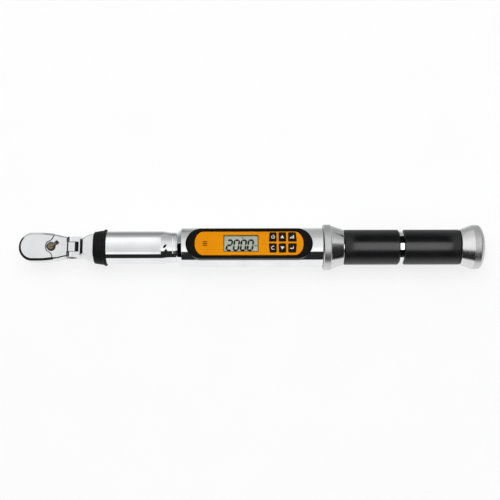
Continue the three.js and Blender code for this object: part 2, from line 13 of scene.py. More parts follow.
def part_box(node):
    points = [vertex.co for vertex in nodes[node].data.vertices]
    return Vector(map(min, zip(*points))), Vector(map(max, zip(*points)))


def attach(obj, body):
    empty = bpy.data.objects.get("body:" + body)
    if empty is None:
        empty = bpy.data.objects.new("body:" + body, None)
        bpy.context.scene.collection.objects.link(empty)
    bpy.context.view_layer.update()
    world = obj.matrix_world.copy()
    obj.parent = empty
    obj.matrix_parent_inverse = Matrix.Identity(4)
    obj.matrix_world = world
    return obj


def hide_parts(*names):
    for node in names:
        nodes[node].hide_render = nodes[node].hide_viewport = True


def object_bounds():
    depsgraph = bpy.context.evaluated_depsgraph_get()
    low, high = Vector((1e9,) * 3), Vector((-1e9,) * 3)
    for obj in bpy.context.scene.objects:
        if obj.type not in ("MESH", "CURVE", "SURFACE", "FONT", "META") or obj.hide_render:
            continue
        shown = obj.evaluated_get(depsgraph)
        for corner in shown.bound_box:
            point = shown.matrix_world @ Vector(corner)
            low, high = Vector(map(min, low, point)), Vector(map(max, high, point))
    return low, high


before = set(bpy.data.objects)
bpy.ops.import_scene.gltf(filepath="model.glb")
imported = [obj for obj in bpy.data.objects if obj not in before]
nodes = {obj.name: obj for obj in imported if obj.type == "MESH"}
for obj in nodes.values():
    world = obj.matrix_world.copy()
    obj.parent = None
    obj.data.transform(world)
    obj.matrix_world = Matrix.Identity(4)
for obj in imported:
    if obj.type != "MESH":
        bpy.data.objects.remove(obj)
cad_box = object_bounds()

MM = 0.001
SEG = 160                       # facets around the large turned pieces


def span(node):
    """(low, high) corners of a CAD node in millimetres."""
    low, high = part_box(node)
    return low / MM, high / MM


tube_low, tube_high = span("front_tube")
AXIS_Z = (tube_low.z + tube_high.z) / 2
PIVOT_X = (span("flex_pin")[0].x + span("flex_pin")[1].x) / 2


# ---- materials ----------------------------------------------------------------------------------

def new_material(name, color, metallic=0.0, roughness=0.5):
    """A material and its Principled shader, with a flat start that the callers below enrich."""
    material = bpy.data.materials.new(name)
    material.use_nodes = True
    shader = material.node_tree.nodes["Principled BSDF"]
    shader.inputs["Base Color"].default_value = (*color, 1)
    shader.inputs["Metallic"].default_value = metallic
    shader.inputs["Roughness"].default_value = roughness
    return material, shader


def add_noise(material, scale, detail=3.0, stretch=(1, 1, 1)):
    """Noise in object space; stretch squeezes it along each axis, in features per metre."""
    tree = material.node_tree
    coords = tree.nodes.new("ShaderNodeTexCoord")
    mapping = tree.nodes.new("ShaderNodeMapping")
    mapping.inputs["Scale"].default_value = stretch
    noise = tree.nodes.new("ShaderNodeTexNoise")
    noise.inputs["Scale"].default_value = scale
    noise.inputs["Detail"].default_value = detail
    tree.links.new(coords.outputs["Object"], mapping.inputs["Vector"])
    tree.links.new(mapping.outputs["Vector"], noise.inputs["Vector"])
    return noise


def vary_roughness(material, shader, noise, low, high):
    tree = material.node_tree
    spread = tree.nodes.new("ShaderNodeMapRange")
    spread.inputs["From Min"].default_value = 0.3
    spread.inputs["From Max"].default_value = 0.7
    spread.inputs["To Min"].default_value = low
    spread.inputs["To Max"].default_value = high
    tree.links.new(noise.outputs["Fac"], spread.inputs["Value"])
    tree.links.new(spread.outputs["Result"], shader.inputs["Roughness"])


def vary_color(material, shader, noise, dark, light):
    tree = material.node_tree
    ramp = tree.nodes.new("ShaderNodeValToRGB")
    ramp.color_ramp.elements[0].position = 0.3
    ramp.color_ramp.elements[1].position = 0.7
    ramp.color_ramp.elements[0].color = (*dark, 1)
    ramp.color_ramp.elements[1].color = (*light, 1)
    tree.links.new(noise.outputs["Fac"], ramp.inputs["Fac"])
    tree.links.new(ramp.outputs["Color"], shader.inputs["Base Color"])


def add_bump(material, shader, noise, strength, distance):
    tree = material.node_tree
    bump = tree.nodes.new("ShaderNodeBump")
    bump.inputs["Strength"].default_value = strength
    bump.inputs["Distance"].default_value = distance
    tree.links.new(noise.outputs["Fac"], bump.inputs["Height"])
    tree.links.new(bump.outputs["Normal"], shader.inputs["Normal"])


def finish_of(name, dark, light, metallic, rough, grain, stretch=(1, 1, 1), bump=0.0, depth=0.00002,
              specular=0.5):
    """Roughness and bump drawn from one grain, colour from a broader cloud."""
    material, shader = new_material(name, light, metallic, rough[0])
    shader.inputs["Specular IOR Level"].default_value = specular
    fine = add_noise(material, grain, 4.0, stretch)
    broad = add_noise(material, 45.0, 2.0)
    vary_color(material, shader, broad, dark, light)
    vary_roughness(material, shader, fine, *rough)
    if bump:
        add_bump(material, shader, fine, bump, depth)
    return material


CHROME = finish_of("polished_chrome", (0.80, 0.81, 0.82), (0.90, 0.905, 0.91), 1.0, (0.035, 0.07), 260.0)
HEAD_CHROME = finish_of("head_chrome", (0.72, 0.73, 0.74), (0.80, 0.805, 0.81), 1.0, (0.08, 0.15), 900.0,
                        bump=0.05)
TURNED_GRAIN = (190, 3, 3)      # fine along X only, so that the grain runs round a turned piece
BRUSHED = finish_of("turned_aluminium", (0.66, 0.66, 0.66), (0.74, 0.74, 0.74), 1.0, (0.12, 0.22), 18.0,
                    TURNED_GRAIN, 0.08)
RIM_BRUSHED = finish_of("rim_aluminium", (0.58, 0.58, 0.58), (0.66, 0.66, 0.66), 1.0, (0.30, 0.42), 18.0,
                        TURNED_GRAIN, 0.30)
STEEL = finish_of("satin_steel", (0.52, 0.52, 0.53), (0.66, 0.66, 0.67), 1.0, (0.22, 0.36), 1200.0, bump=0.10)
# Dark steel of the pivot screw, pawl and cross pin; darken() also lays it on the head's groove and chamfer
# edges and the fork's slot as painted shade and painted reflections.
DARK_STEEL_AND_SHADE = finish_of("dark_steel", (0.035, 0.032, 0.030), (0.07, 0.065, 0.06), 1.0, (0.28, 0.42), 1100.0,
                       bump=0.15)
BRONZE = finish_of("bronzed_lever", (0.11, 0.085, 0.055), (0.27, 0.225, 0.155), 1.0, (0.24, 0.40), 1300.0,
                   bump=0.18)
RUBBER = finish_of("collar_rubber", (0.006, 0.006, 0.007), (0.012, 0.012, 0.013), 0.0, (0.45, 0.60), 900.0,
                   bump=0.25, depth=0.00004, specular=0.10)
GRIP = finish_of("grip_rubber", (0.002, 0.002, 0.003), (0.006, 0.006, 0.007), 0.0, (0.34, 0.46), 1500.0,
                 bump=0.9, depth=0.0001)
# Black plastic of the bezel, chip and buzzer; also the painted shade of the pin hole on the front tube.
BLACK = finish_of("black_plastic_and_painted_shade", (0.004, 0.003, 0.002), (0.008, 0.006, 0.004), 0.0, (0.20, 0.30), 1400.0,
                  bump=0.08, specular=0.07)
KEY_BLACK = finish_of("key_rubber", (0.008, 0.007, 0.006), (0.014, 0.012, 0.011), 0.0, (0.35, 0.5), 1600.0,
                      bump=0.12, specular=0.1)
ORANGE = finish_of("orange_film", (0.80, 0.270, 0.001), (0.86, 0.300, 0.001), 0.0, (0.36, 0.48), 1500.0,
                   bump=0.12, specular=0.04)
LCD = finish_of("display_ground", (0.46, 0.51, 0.42), (0.54, 0.59, 0.49), 0.0, (0.35, 0.5), 2200.0)
INK = finish_of("display_ink", (0.002, 0.003, 0.002), (0.005, 0.006, 0.005), 0.0, (0.4, 0.5), 2000.0,
                specular=0.05)
# Dark olive for the painted shade round the display window's edge.
SHADE_OLIVE = finish_of("window_painted_shade", (0.045, 0.035, 0.012), (0.07, 0.055, 0.02), 0.0, (0.4, 0.5), 2000.0,
                  specular=0.1)
PRINT = finish_of("white_print", (0.72, 0.72, 0.70), (0.85, 0.85, 0.83), 0.0, (0.4, 0.55), 2000.0)
BOARD = finish_of("board_mask", (0.01, 0.10, 0.03), (0.02, 0.16, 0.05), 0.0, (0.25, 0.4), 900.0, bump=0.1)
BRASS = finish_of("contact_brass", (0.50, 0.34, 0.10), (0.66, 0.48, 0.20), 1.0, (0.2, 0.35), 900.0)
POLYMER = finish_of("liner_polymer", (0.55, 0.53, 0.46), (0.66, 0.64, 0.56), 0.0, (0.4, 0.55), 900.0,
                    bump=0.1)
CELL = finish_of("cell_lacquer", (0.03, 0.05, 0.10), (0.06, 0.09, 0.16), 0.4, (0.2, 0.3), 500.0)
FILM = finish_of("gauge_film", (0.50, 0.26, 0.05), (0.62, 0.34, 0.08), 0.0, (0.3, 0.4), 900.0)


def clear_glass():
    material, shader = new_material("window_clear", (0.03, 0.03, 0.03), 0.0, 0.06)
    vary_roughness(material, shader, add_noise(material, 300.0), 0.04, 0.08)
    shader.inputs["Alpha"].default_value = 0.06
    return material


GLASS = clear_glass()


# ---- mesh helpers -------------------------------------------------------------------------------

def piece(name, verts, faces, material, body, replaced=(), flat_angle=32):
    """A mesh object from millimetre vertices, smooth but for edges sharper than flat_angle degrees."""
    mesh = bpy.data.meshes.new(name)
    mesh.from_pydata([Vector(v) * MM for v in verts], [], faces)
    obj = bpy.data.objects.new(name, mesh)
    bpy.context.scene.collection.objects.link(obj)
    tidy_normals(obj)
    shade(obj, flat_angle)
    if material:
        obj.data.materials.append(material)
    if body:
        mount(obj, body, replaced)
    return obj


def mount(obj, body, replaced=()):
    even = obj.modifiers.new("even_normals", "WEIGHTED_NORMAL")
    even.keep_sharp = True
    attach(obj, body)
    if replaced:
        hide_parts(*replaced)
    return obj


def tidy_normals(obj):
    work = bmesh.new()
    work.from_mesh(obj.data)
    bmesh.ops.remove_doubles(work, verts=work.verts, dist=1e-7)
    bmesh.ops.recalc_face_normals(work, faces=work.faces)
    work.to_mesh(obj.data)
    work.free()


def shade(obj, angle):
    for polygon in obj.data.polygons:
        polygon.use_smooth = True
    obj.data.set_sharp_from_angle(angle=math.radians(angle))


def apply_modifiers(obj):
    bpy.context.view_layer.update()
    evaluated = obj.evaluated_get(bpy.context.evaluated_depsgraph_get())
    result = bpy.data.meshes.new_from_object(evaluated)
    obj.modifiers.clear()
    obj.data = result
    return obj


def combine(obj, tools, operation="DIFFERENCE"):
    """Joins or cuts obj with each tool object and throws the tools away."""
    for tool in tools:
        modifier = obj.modifiers.new("combine", "BOOLEAN")
        modifier.operation = operation
        modifier.solver = "EXACT"
        modifier.object = tool
        apply_modifiers(obj)
        bpy.data.objects.remove(tool)
    return obj


def soften(obj, width, segments=3, angle=30):
    """Rounds the edges sharper than angle and shades the result."""
    work = bmesh.new()
    work.from_mesh(obj.data)
    bmesh.ops.remove_doubles(work, verts=work.verts, dist=2e-6)
    bmesh.ops.dissolve_limit(work, angle_limit=math.radians(0.5), verts=work.verts, edges=work.edges)
    work.to_mesh(obj.data)
    work.free()
    modifier = obj.modifiers.new("soften", "BEVEL")
    modifier.width = width * MM
    modifier.segments = segments
    modifier.limit_method = "ANGLE"
    modifier.angle_limit = math.radians(angle)
    modifier.harden_normals = False
    apply_modifiers(obj)
    shade(obj, 40)
    return obj


def rounded(corners, steps=5):
    """Polyline of (x, y, fillet) corners with each corner replaced by an arc of that radius."""
    points = []
    count = len(corners)
    for i, (x, y, fillet) in enumerate(corners):
        here = Vector((x, y))
        if fillet <= 0:
            points.append((x, y))
            continue
        before = Vector(corners[i - 1][:2]) - here
        after = Vector(corners[(i + 1) % count][:2]) - here
        half = before.angle(after) / 2
        reach = min(fillet / math.tan(half), before.length * 0.49, after.length * 0.49)
        radius = reach * math.tan(half)
        start = here + before.normalized() * reach
        end = here + after.normalized() * reach
        centre = here + (before.normalized() + after.normalized()).normalized() * (radius / math.sin(half))
        a = start - centre
        b = end - centre
        for k in range(steps + 1):
            t = k / steps
            swing = a.lerp(b, t)
            swing = swing.normalized() * radius if swing.length else swing
            points.append(tuple(centre + swing))
    return points


def turned_mesh(profile, closed, seg=SEG):
    """Vertices and faces of a (distance along X, radius) profile turned about the handle axis."""
    verts = []
    rings = []
    for x, r in profile:
        if r < 1e-6:
            rings.append([len(verts)])
            verts.append((x, 0, AXIS_Z))
            continue
        rings.append(list(range(len(verts), len(verts) + seg)))
        for k in range(seg):
            a = 2 * math.pi * k / seg
            verts.append((x, r * math.sin(a), AXIS_Z + r * math.cos(a)))
    faces = []
    last = len(rings) if closed else len(rings) - 1
    for i in range(last):
        one, two = rings[i], rings[(i + 1) % len(rings)]
        for k in range(seg):
            n = (k + 1) % seg
            corners = [one[k % len(one)], one[n % len(one)], two[n % len(two)], two[k % len(two)]]
            kept = []
            for c in corners:
                if c not in kept:
                    kept.append(c)
            if len(kept) > 2:
                faces.append(kept)
    return verts, faces


def turned(name, corners, material, body, replaced=(), closed=True, seg=SEG):
    """A piece turned about the handle axis from (x, radius, fillet) corners."""
    verts, faces = turned_mesh(rounded(corners), closed, seg)
    return piece(name, verts, faces, material, body, replaced)


def slab_mesh(outline, layers):
    """A stack of (inset, height) copies of a closed outline, joined and capped at both ends."""
    count = len(outline)
    normals = []
    area = sum(outline[i - 1][0] * outline[i][1] - outline[i][0] * outline[i - 1][1] for i in range(count))
    turn = 1 if area > 0 else -1
    for i in range(count):
        before = Vector(outline[i]) - Vector(outline[i - 1])
        after = Vector(outline[(i + 1) % count]) - Vector(outline[i])
        n1 = Vector((-before.y, before.x)).normalized() * turn
        n2 = Vector((-after.y, after.x)).normalized() * turn
        middle = (n1 + n2).normalized()
        normals.append(middle / max(0.5, middle.dot(n1)))
    verts = []
    for inset, z in layers:
        for point, normal in zip(outline, normals):
            moved = Vector(point) + normal * inset
            verts.append((moved.x, moved.y, AXIS_Z + z))
    faces = [list(range(count)), list(range(len(verts) - count, len(verts)))]
    for level in range(len(layers) - 1):
        base = level * count
        for i in range(count):
            n = (i + 1) % count
            faces.append([base + i, base + n, base + count + n, base + count + i])
    return verts, faces


def slab(name, outline, layers, material=None, body=None, replaced=(), flat_angle=32):
    verts, faces = slab_mesh(outline, layers)
    return piece(name, verts, faces, material, body, replaced, flat_angle)


def edge_layers(z0, z1, radius, steps=4, both=True):
    """Layers of a slab from z1 down to z0 with its upper edge, and its lower one if both, rounded."""
    turns = [math.pi / 2 * k / steps for k in range(steps + 1)]
    upper = [(radius * (1 - math.sin(t)), z1 - radius * (1 - math.cos(t))) for t in turns]
    if not both:
        return upper + [(0, z0)]
    lower = [(inset, z0 + z1 - z) for inset, z in reversed(upper)]
    return upper + lower


def arc(cx, cy, r, start, end, steps):
    return [(cx + r * math.cos(math.radians(start + (end - start) * k / steps)),
             cy + r * math.sin(math.radians(start + (end - start) * k / steps))) for k in range(steps + 1)]


def block(x0, x1, y0, y1, z0, z1):
    """A plain cutter."""
    return slab("cutter", [(x0, y0), (x1, y0), (x1, y1), (x0, y1)], [(0, z1), (0, z0)])


def cross_cylinder(r, x, y0, y1, z=0.0, seg=72):
    """A cylinder along Y at height z above the handle axis."""
    verts = [(x + r * math.cos(2 * math.pi * k / seg), y, AXIS_Z + z + r * math.sin(2 * math.pi * k / seg))
             for y in (y0, y1) for k in range(seg)]
    faces = [list(range(seg)), list(range(seg, 2 * seg))]
    faces += [[k, (k + 1) % seg, seg + (k + 1) % seg, seg + k] for k in range(seg)]
    return piece("cylinder", verts, faces, None, None)


def post(r, x, y, z0, z1, seg=72):
    return slab("post", arc(x, y, r, 0, 360 - 360 / seg, seg - 1), [(0, z1), (0, z0)])


def merge(obj, others):
    """Joins separate meshes into one object without a boolean."""
    work = bmesh.new()
    work.from_mesh(obj.data)
    for other in others:
        work.from_mesh(other.data)
        bpy.data.objects.remove(other)
    work.to_mesh(obj.data)
    work.free()
    return obj


# ---- ratchet head -------------------------------------------------------------------------------

HEAD_R = 13.3                   # half the head's width
HEAD_REACH = 12.7               # from the drive axis to the head's front end
HEAD_BACK = 32.9                # where the head's body ends behind the root of its tang
FACE_TOP = 7.1
LEVER_X = 17.4
TANG_HALF = 4.5
TANG_ROUND = 6.2                # radius of the tang's end about the pivot
EAR_CLEARANCE = 6.2
PIN_BORE = 3.1


def smooth_side(points, steps=6):
    """Catmull-Rom curve through the points."""
    padded = [points[0]] + points + [points[-1]]
    curve = []
    for i in range(1, len(padded) - 2):
        p0, p1, p2, p3 = (Vector(padded[i + k]) for k in (-1, 0, 1, 2))
        for k in range(steps):
            t = k / steps
            curve.append(tuple(0.5 * (2 * p1 + (p2 - p0) * t + (2 * p0 - 5 * p1 + 4 * p2 - p3) * t * t
                                      + (3 * p1 - p0 - 3 * p2 + p3) * t ** 3)))
    return curve + [points[-1]]


def head_outline(inset):
    """Teardrop seen from above, moved in by inset and drawn out past the flex joint."""
    points = [(0, HEAD_R), (8, HEAD_R), (15, 12.8), (21, 12), (25, 11.2), (29, 10.2), (33.5, 9.6)]
    side = smooth_side([(x, y - inset) for x, y in points]) + [(46, 9.4 - inset)]
    end = [((HEAD_REACH - inset) * x, (HEAD_R - inset) * y) for x, y in arc(0, 0, 1, 93, 267, 44)]
    return [(x, -y) for x, y in side] + side[::-1] + end


def face_plate():
    """Raised chamfered face that ends in a notch round the lever."""
    plate = slab("plate", head_outline(0.03), [
        (2.3, FACE_TOP), (2.15, 7.06), (2.0, 6.96), (0.1, 5.68), (0, 5.5), (0, 4.2)])
    notch = [(19.4, -20), (19.4, -11.2), (18.2, -7.2), (16.6, -5.4), (13.9, -4.0), (12.9, -2.0), (12.7, 0),
             (12.9, 2.0), (13.9, 4.0), (17.0, 5.4), (18.6, 7.2), (20.6, 11.2), (20.6, 20)]
    return combine(plate, [slab("notch", [(60, -20), (60, 20)] + notch[::-1], [
        (-0.75, 12), (-0.75, 7.2), (0.1, 6.45), (0.1, 0)])])


def darken(obj, inside):
    """Dark steel colour for the faces picked by their centre, measured from the handle axis, and their
    normal. On the head and the fork it is painted shade and painted reflections.
    """
    obj.data.materials.append(DARK_STEEL_AND_SHADE)
    for polygon in obj.data.polygons:
        if inside(polygon.center / MM - Vector((0, 0, AXIS_Z)), polygon.normal):
            polygon.material_index = 1


def on_head_line(at, facing):
    """The head's dark lines: the groove at the tang's root, the face's chamfer at the front and on the -Y
    side, and the edges round the notch and the lever's bore. They stand for reflections and shade in the
    photo, and as a finish they stay dark from every angle."""
    in_groove = 32.0 < at.x < 33.3 and abs(at.y) < 4.55 and 4.5 < at.z < 5.36
    on_edge = at.x < 21 and 5.6 < at.z < 7.05 and facing.z < 0.95
    return in_groove or on_edge and (at.y < 2 or at.x > 12 and at.y < 10.5)


def head_piece():
    """Teardrop body, chamfered face plate with a notch round the lever, and the tang of the flex joint."""
    rim = [(2.7, 6.45), (1.9, 6.3), (0.9, 5.6), (0.3, 4.8), (0, 3.6)]
    under = [(0, -3.4), (0.12, -4.8), (0.45, -5.75), (1.0, -6.35), (1.7, -6.6)]
    body = slab("head_body", head_outline(0), rim + under)
    combine(body, [face_plate()], "UNION")
    combine(body, [joint_cutter(TANG_HALF, 20), joint_cutter(-20, -TANG_HALF),
                   block(HEAD_BACK, 60, -21, 21, -21, 21)])
    combine(body, [tang_piece()], "UNION")
    groove = block(32.1, 33.2, -4.6, 4.6, 5.0, 20)
    combine(body, [
        groove, cross_cylinder(PIN_BORE, PIVOT_X, -10, 10),
        post(11.5, 0, 0, -12, -4.3), post(9.6, 0, 0, -6, 3.5),
        post(2.5, LEVER_X, 0, 0, 12), post(4.4, LEVER_X, 0, 6.2, 12)])
    soften(body, 0.18)
    body.data.materials.append(HEAD_CHROME)
    # Painted shade in the groove at the tang's root and painted reflections along the chamfer and notch
    # edges.
    darken(body, on_head_line)
    return mount(body, "head", ["ratchet_head"])


def side_extrusion(name, outline, y0, y1):
    """A closed outline in the XZ plane, heights from the handle axis, drawn out along Y."""
    count = len(outline)
    verts = [(x, y, AXIS_Z + z) for y in (y0, y1) for x, z in outline]
    faces = [list(range(count)), list(range(count, 2 * count))]
    faces += [[k, (k + 1) % count, count + (k + 1) % count, count + k] for k in range(count)]
    return piece(name, verts, faces, None, None)


def joint_cutter(y0, y1):
    """The space that an ear of the fork sweeps, open towards the handle."""
    sweep = arc(PIVOT_X, 0, EAR_CLEARANCE, 134, 226, 40)
    edge = sweep[0][0]
    return side_extrusion("cutter", [(60, 20), (edge, 20)] + sweep + [(edge, -20), (60, -20)], y0, y1)


def tang_piece():
    outline = [(27, -5.37)] + arc(PIVOT_X, 0, TANG_ROUND, -60, 60, 48) + [(27, 5.37)]
    return side_extrusion("tang", outline, -TANG_HALF + 0.25, TANG_HALF - 0.25)


def lever_piece():
    """Round thumb disc with a raised boss and a straight arm that ends in a dark knob."""
    disc = slab("lever_disc", arc(0, 0, 4.1, 0, 355, 71), edge_layers(6.45, 7.7, 0.3))
    boss = slab("lever_boss", arc(0, 0, 3.0, 0, 355, 71), edge_layers(7.2, 8.5, 0.45, both=False))
    arm_outline = arc(0.6, 0, 1.35, 90, 270, 16) + arc(6.6, 0, 1.25, -90, 90, 16)
    arm = slab("lever_arm", arm_outline, edge_layers(7.2, 8.8, 0.4))
    combine(disc, [boss, arm], "UNION")
    combine(disc, [block(-2.1, -1.6, -1.2, 1.2, 8.3, 12)])
    soften(disc, 0.1, 2)
    shaft = slab("shaft", arc(0, 0, 2.3, 0, 350, 35), [(0, 6.6), (0, -3.5)])
    knob = slab("knob", arc(6.75, 0, 1.4, 0, 350, 35), edge_layers(7.3, 9.0, 0.3))
    merge(disc, [shaft, knob])
    disc.name = "reverse_lever_visible"
    shade(disc, 35)
    disc.data.materials.append(BRONZE)
    darken(disc, lambda at, facing: at.z < 7.75 or at.x > 5.5)
    turn = Matrix.Translation((LEVER_X * MM, 0, 0)) @ Matrix.Rotation(math.radians(35), 4, "Z")
    disc.data.transform(turn)
    return mount(disc, "lever", ["reversing_lever"])


def cover_piece():
    """Drive-side cover: a plate ring with a lip and a turned groove."""
    ring = [(7.45, -6.0, 0.1), (8.6, -6.0, 0.1), (8.8, -5.8, 0.1), (9.6, -5.8, 0.1), (9.8, -6.0, 0.1),
            (11.3, -6.0, 0.3), (11.3, -4.4, 0.1), (7.45, -4.4, 0.1)]
    profile = rounded(ring, 3)
    seg = 120
    verts = [(r * math.cos(2 * math.pi * k / seg), r * math.sin(2 * math.pi * k / seg), AXIS_Z + z)
             for r, z in profile for k in range(seg)]
    faces = []
    for i in range(len(profile)):
        for k in range(seg):
            one, two = i * seg, ((i + 1) % len(profile)) * seg
            faces.append([one + k, one + (k + 1) % seg, two + (k + 1) % seg, two + k])
    return piece("drive_cover", verts, faces, STEEL, "head", ["cover_plate"])


# ---- flex joint and neck ------------------------------------------------------------------------

def yoke_piece():
    """Fork with rounded ears, a stepped neck with milled flats, and the torque beam behind it."""
    beam_end = span("flex_yoke")[1].x
    collar_x = span("front_collar")[0].x
    neck_profile = smooth_side([(43.0, 9.5), (45.5, 9.6), (49.2, 11.2), (52.4, 12.7), (collar_x, 13.6)], 5)
    profile = [(43.0, 0)] + neck_profile + [(collar_x + 0.05, 12.8), (80, 12.8), (84, 7), (84, 0)]
    verts, faces = turned_mesh(profile, False, 128)
    neck = piece("yoke_body", verts, faces, None, None)
    step = [(40, 6.1), (44.0, 6.1), (47.0, 8.05), (56.6, 8.05), (56.6, 21), (40, 21)]
    for side in (-1, 1):
        combine(neck, [side_extrusion("flat", [(x, side * z) for x, z in step], -22, 22)])
    ear_outline = arc(PIVOT_X, 0, 5.7, 90, 270, 48) + [(44.9, -5.7), (44.9, 5.7)]
    combine(neck, [side_extrusion("ears", ear_outline, -9.55, 9.55)], "UNION")
    combine(neck, [block(82, beam_end, -5, 5, -7.9, 7.9)], "UNION")
    slot = block(20, PIVOT_X + 6.75, -4.75, 4.75, -12, 12)
    screw_recess = cross_cylinder(4.5, PIVOT_X, -20, -7.95)
    combine(neck, [slot, cross_cylinder(PIN_BORE, PIVOT_X, -20, 20), screw_recess])
    soften(neck, 0.25)
    neck.data.materials.append(HEAD_CHROME)
    # Painted shade: the faces inside the fork's slot that don't face up get dark steel colour.
    darken(neck, lambda at, facing: at.x < 43.1 and abs(at.y) < 4.9 and facing.z < 0.95)
    return mount(neck, "handle", ["flex_yoke"])


def hinge_screw():
    """Pivot screw with a rounded head and a hexagon socket, its shank running across the fork."""
    head = cross_cylinder(4.35, PIVOT_X, -9.5, -8.1)
    combine(head, [cross_cylinder(3.0, PIVOT_X, -8.4, 9.3)], "UNION")
    combine(head, [cross_cylinder(1.75, PIVOT_X, -12, -8.6, seg=6)])
    soften(head, 0.18)
    head.name = "hinge_screw"
    head.data.materials.append(DARK_STEEL_AND_SHADE)
    return mount(head, "handle", ["flex_pin"])


# ---- front section ------------------------------------------------------------------------------

def collar_piece():
    low, high = span("front_collar")
    x0, x1 = low.x, high.x
    corners = [(x0, 12.95, 0), (x0, 14.4, 0.5), (x0 + 0.7, 14.85, 0.6), (x1 - 2.6, 16.1, 0.5),
               (x1 - 1.9, 17.0, 0.5), (x1 - 0.3, 17.05, 0.5), (x1, 16.2, 0.3), (x1, 15.5, 0.2),
               (x1, 12.95, 0)]
    return turned("front_bumper", corners, RUBBER, "handle", ["front_collar"])


def barrel_piece():
    """Chromed front tube: parallel, then a smooth shoulder down to the neck that enters the housing."""
    x0 = tube_low.x
    shoulder = [(119.0, 15.4), (120.6, 15.36), (123.2, 15.0), (126.0, 14.45), (128.8, 14.22), (131, 14.2)]
    curve = [(x, r, 0) for x, r in smooth_side(shoulder, 18)]
    corners = [(x0, 12.95, 0), (x0, 15.4, 0.35)] + curve + [
        (133.6, 14.2, 0.2), (133.8, 13.4, 0.15), (134.6, 13.4, 0), (134.6, 11.98, 0), (140.9, 11.98, 0.2),
        (140.9, 10.7, 0), (131, 10.7, 0), (131, 11.6, 0), (82, 11.6, 0), (81, 12.95, 0)]
    return turned("front_barrel", corners, CHROME, "handle", ["front_tube"])


def pin_hole_shade_piece():
    """Black slanted oval over the cross pin, on the tube's shoulder: painted shade standing for a hole that
    is not cut into the tube.
    """
    outline = [(x * 2.1, y * 1.0) for x, y in arc(0, 0, 1, 0, 355, 71)]
    hole_shade = slab("pin_hole_shade", outline, edge_layers(14.0, 15.16, 0.12, 2, both=False))
    place = Matrix.Translation(((span("cross_pin")[0].x + 2.2) * MM, -1.8 * MM, 0))
    hole_shade.data.transform(place @ Matrix.Rotation(math.radians(52), 4, "Z"))
    hole_shade.data.materials.append(BLACK)
    return mount(hole_shade, "handle", ())


# ---- display housing ----------------------------------------------------------------------------

BEZEL_HALF = 14.15
BEZEL_TOP = 19.4
PANEL_HALF = 11.0
PANEL_REACH = 8.0
THROUGH_PANEL = [(0, 30), (0, 5)]
SOUND_SLOT = (158.3, 162.5)     # both ends, along X
SOUND_SLOT_PITCH = 1.7
KEYS = [("key_power", 0, 1), ("key_clear", 0, -1), ("key_up", 1, 1), ("key_down", 1, -1),
        ("key_memory", 2, 1), ("key_unit", 2, -1)]       # node, column, side of the middle line
KEY_LEAN = 0.9
DIGIT_PITCH = 6.4


def stadium(x0, x1, half, steps=40):
    return arc(x1 - half, 0, half, -90, 90, steps) + arc(x0 + half, 0, half, 90, 270, steps)


def oval(x0, x1, half, reach, steps=32):
    """Straight long sides and half-ellipse ends of the given reach along X."""
    def end(cx, start, stop):
        return [(cx + reach * x, half * y) for x, y in arc(0, 0, 1, start, stop, steps)]
    return end(x1 - reach, -90, 90) + end(x0 + reach, 90, 270)


def rectangle(x0, x1, y0, y1, radius, steps=5):
    return rounded([(x0, y0, radius), (x1, y0, radius), (x1, y1, radius), (x0, y1, radius)], steps)


def housing_piece():
    low, high = span("housing")
    x0, x1, r = low.x, high.x, (high.y - low.y) / 2
    corners = [(x0, 12.1, 0), (x0, 14.6, 0.3), (x0 + 3.9, r, 0.5), (x1, r, 0.5), (x1, 12.1, 0),
               (x1 - 4, 12.1, 0), (x1 - 4, 16, 0), (x0 + 6, 16, 0), (x0 + 6, 12.1, 0)]
    case = turned("display_case", corners, None, None)
    bezel_low, bezel_high = span("bezel")
    outline = stadium(bezel_low.x - 0.12, bezel_high.x + 0.12, BEZEL_HALF + 0.12)
    combine(case, [slab("opening", outline, [(0, 30), (0, 8)])])
    soften(case, 0.4, 3, 35)
    case.data.materials.append(CHROME)
    return mount(case, "handle", ["housing"])


def bezel_piece():
    """Raised black frame: rounded outer wall, dished inner slope down to the panel's ledge."""
    low, high = span("bezel")
    x0, x1 = low.x, high.x
    outer = stadium(x0, x1, BEZEL_HALF)
    frame_body = slab("bezel_frame", outer, [
        (1.5, BEZEL_TOP), (1.0, BEZEL_TOP - 0.06), (0.55, BEZEL_TOP - 0.28), (0.22, BEZEL_TOP - 0.65),
        (0.05, BEZEL_TOP - 1.2), (0, BEZEL_TOP - 2.2), (0, 9)])
    panel_low, panel_high = span("face_panel")
    seat = oval(panel_low.x - 0.1, panel_high.x + 0.1, PANEL_HALF + 0.1, PANEL_REACH + 0.1)
    seat_z = panel_low.z - AXIS_Z
    dish = [(-0.9, BEZEL_TOP + 1), (-0.6, BEZEL_TOP), (0, BEZEL_TOP - 0.8), (0, seat_z - 0.1)]
    well = oval(panel_low.x + 0.5, panel_high.x - 0.5, PANEL_HALF - 0.5, PANEL_REACH - 0.5)
    combine(frame_body, [slab("seat", seat, dish), slab("well", well, [(0, 25), (0, 5)])])
    shade(frame_body, 35)
    frame_body.data.materials.append(BLACK)
    return mount(frame_body, "handle", ["bezel"])


def key_outline(name, column, row, grow=0.0, radius=0.9):
    """Outline of a key cap; the outer columns have a slanted outer edge."""
    low, high = span(name)
    x0, x1 = low.x - grow, high.x + grow
    inner, outer = (low.y - grow, high.y + grow) if row > 0 else (high.y + grow, low.y - grow)
    lean_left = KEY_LEAN if column == 0 else 0
    lean_right = KEY_LEAN if column == 2 else 0
    corners = [(x0, inner), (x1, inner), (x1 - lean_right, outer), (x0 + lean_left, outer)]
    return rounded([(x, y, radius) for x, y in corners], 5)


